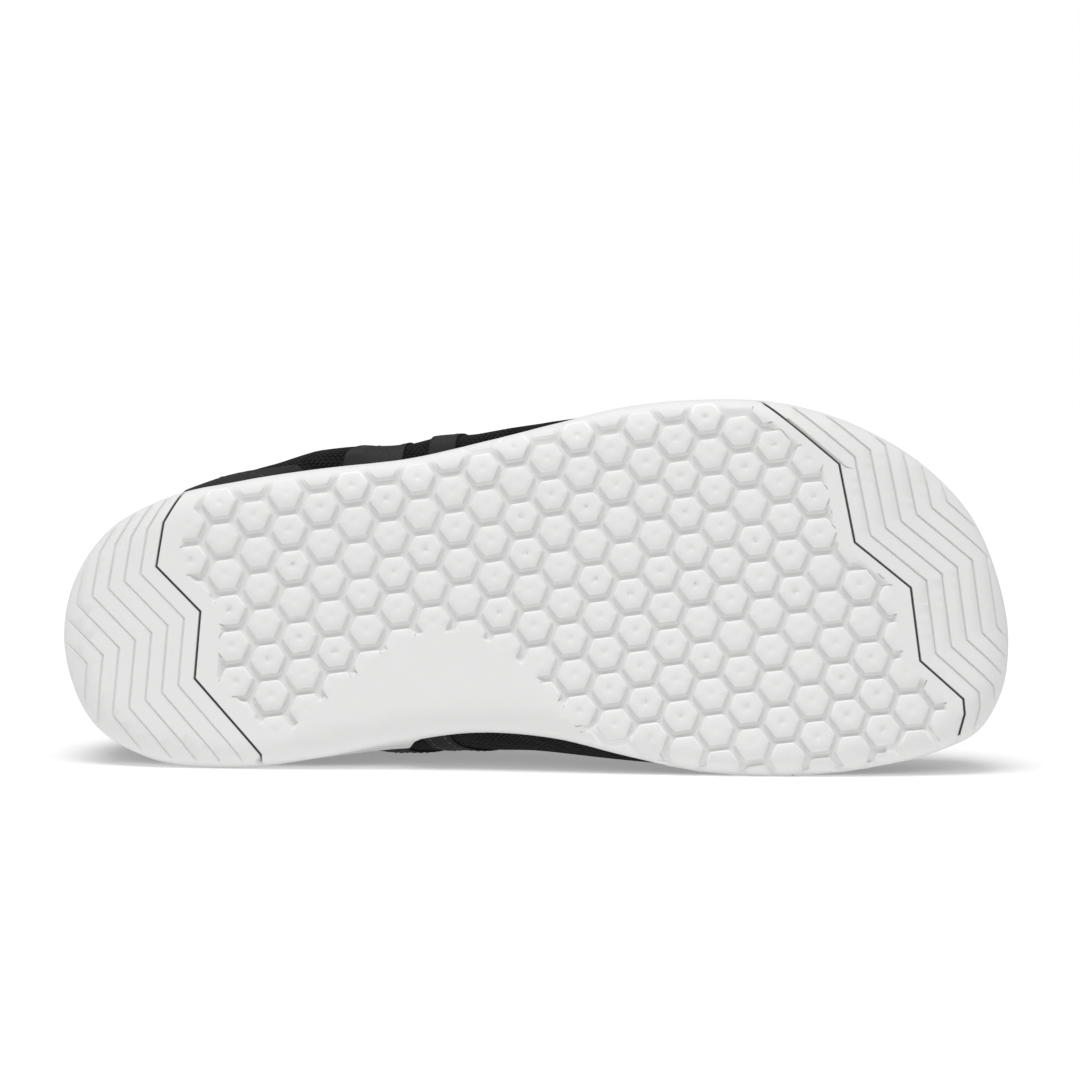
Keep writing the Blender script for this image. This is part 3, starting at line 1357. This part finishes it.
class SHOE_OT_stage(Operator):
    """Set the camera, the floor and the lights"""
    bl_idname = "shoe.stage"
    bl_label = "Stage"

    def execute(self, context):
        stage = context.scene.shoe_stage
        self.add_camera(context, stage)
        self.add_floor()
        self.add_light("sun_light", "SUN", SUN_PLACE, stage.sun, SUN_SPREAD)
        self.add_light("fill_light", "AREA", FILL_PLACE, stage.fill, FILL_SIZE)
        self.add_sky(context, stage)
        context.scene.view_settings.view_transform = "Standard"
        return {"FINISHED"}

    def add_camera(self, context, stage):
        """The photograph's view of the tread, from a little towards the toe."""
        back = Vector((0.0, math.sin(stage.lean), -math.cos(stage.lean)))
        up = Vector((0.0, -math.cos(stage.lean), -math.sin(stage.lean)))
        axes = Matrix((up.cross(back), up, back)).transposed()
        axes = Matrix.Rotation(stage.swing, 3, up) @ axes
        axes = Matrix.Rotation(stage.roll, 3, axes.col[2]) @ axes
        place = Vector(AIM) + axes @ Vector((*AIM_SHIFT, stage.distance))
        data = bpy.data.cameras.new("photo_view")
        data.lens = stage.lens
        data.sensor_width = SENSOR_WIDTH
        camera = linked("photo_view", data)
        camera.matrix_world = SHOE @ Matrix.Translation(place) @ axes.to_4x4()
        context.scene.camera = camera

    def add_floor(self):
        """A wide pale floor."""
        bm = bmesh.new()
        bmesh.ops.create_grid(bm, x_segments=4, y_segments=4, size=FLOOR_SIZE)
        mesh = mesh_of(bm, "floor")
        material, graph, shader = new_material("studio_floor", 0.9, Specular_IOR_Level=0.1,
                                               Emission_Color=WHITE, Emission_Strength=FLOOR_GLOW)
        tones = [(tone, tone, tone, 1.0) for tone in FLOOR_TONES]
        graph.feed(graph.mix(graph.noise(0.5, 2.0, 0.5), *tones), shader, "Base Color")
        floor = linked("floor", mesh)
        mesh.materials.append(material)

    def add_light(self, name, kind, place, power, size):
        """A soft light that faces the shoe. A sun's size is its angle."""
        data = bpy.data.lights.new(name, kind)
        data.energy = power
        setattr(data, "angle" if kind == "SUN" else "size", size)
        lamp = linked(name, data)
        place = Vector(place)
        turned = place.to_track_quat("Z", "Y").to_matrix().to_4x4()
        lamp.matrix_world = Matrix.Translation(place) @ turned

    def add_sky(self, context, stage):
        """Even light all round, which the camera sees as plain white."""
        world = bpy.data.worlds.new("even_light")
        context.scene.world = world
        world.use_nodes = True
        graph = Graph(world.node_tree)
        sky = world.node_tree.nodes["Background"]
        sky.inputs["Color"].default_value = WHITE
        sky.inputs["Strength"].default_value = stage.sky
        white = graph.add("ShaderNodeBackground", {"Color": WHITE, "Strength": 1.0})
        seen = graph.add("ShaderNodeLightPath").outputs["Is Camera Ray"]
        both = graph.add("ShaderNodeMixShader", {0: seen, 1: sky.outputs[0], 2: white.outputs[0]})
        target = world.node_tree.nodes["World Output"]
        world.node_tree.links.new(both.outputs[0], target.inputs["Surface"])


OPERATORS = (
    SHOE_OT_sole, SHOE_OT_upper, SHOE_OT_overlays, SHOE_OT_stitches, SHOE_OT_cuff,
    SHOE_OT_footbed, SHOE_OT_stage,
)
GROUPS = (("shoe_sole", ShoeSole), ("shoe_textile", ShoeTextile), ("shoe_colours", ShoeColours),
          ("shoe_stage", ShoeStage))


class SHOE_PT_panel(Panel):
    """Lists the shoe's sizes, colours and pieces"""
    bl_idname = "SHOE_PT_panel"
    bl_label = "Barefoot shoe"
    bl_space_type = "VIEW_3D"
    bl_region_type = "UI"
    bl_category = "Shoe"

    def draw(self, context):
        for name, group in GROUPS:
            box = self.layout.box()
            for label in group.__annotations__:
                box.prop(getattr(context.scene, name), label)
        for operator in OPERATORS:
            self.layout.operator(operator.bl_idname)


def register():
    for name, group in GROUPS:
        bpy.utils.register_class(group)
        setattr(bpy.types.Scene, name, PointerProperty(type=group))
    for kind in OPERATORS + (SHOE_PT_panel,):
        bpy.utils.register_class(kind)


def unregister():
    for kind in (SHOE_PT_panel,) + OPERATORS[::-1]:
        bpy.utils.unregister_class(kind)
    for name, group in reversed(GROUPS):
        delattr(bpy.types.Scene, name)
        bpy.utils.unregister_class(group)


def main():
    register()
    bpy.ops.shoe.sole()
    bpy.ops.shoe.upper()
    bpy.ops.shoe.overlays()
    bpy.ops.shoe.stitches()
    bpy.ops.shoe.cuff()
    bpy.ops.shoe.footbed()
    bpy.ops.shoe.stage()
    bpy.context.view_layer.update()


if __name__ == "__main__":
    main()
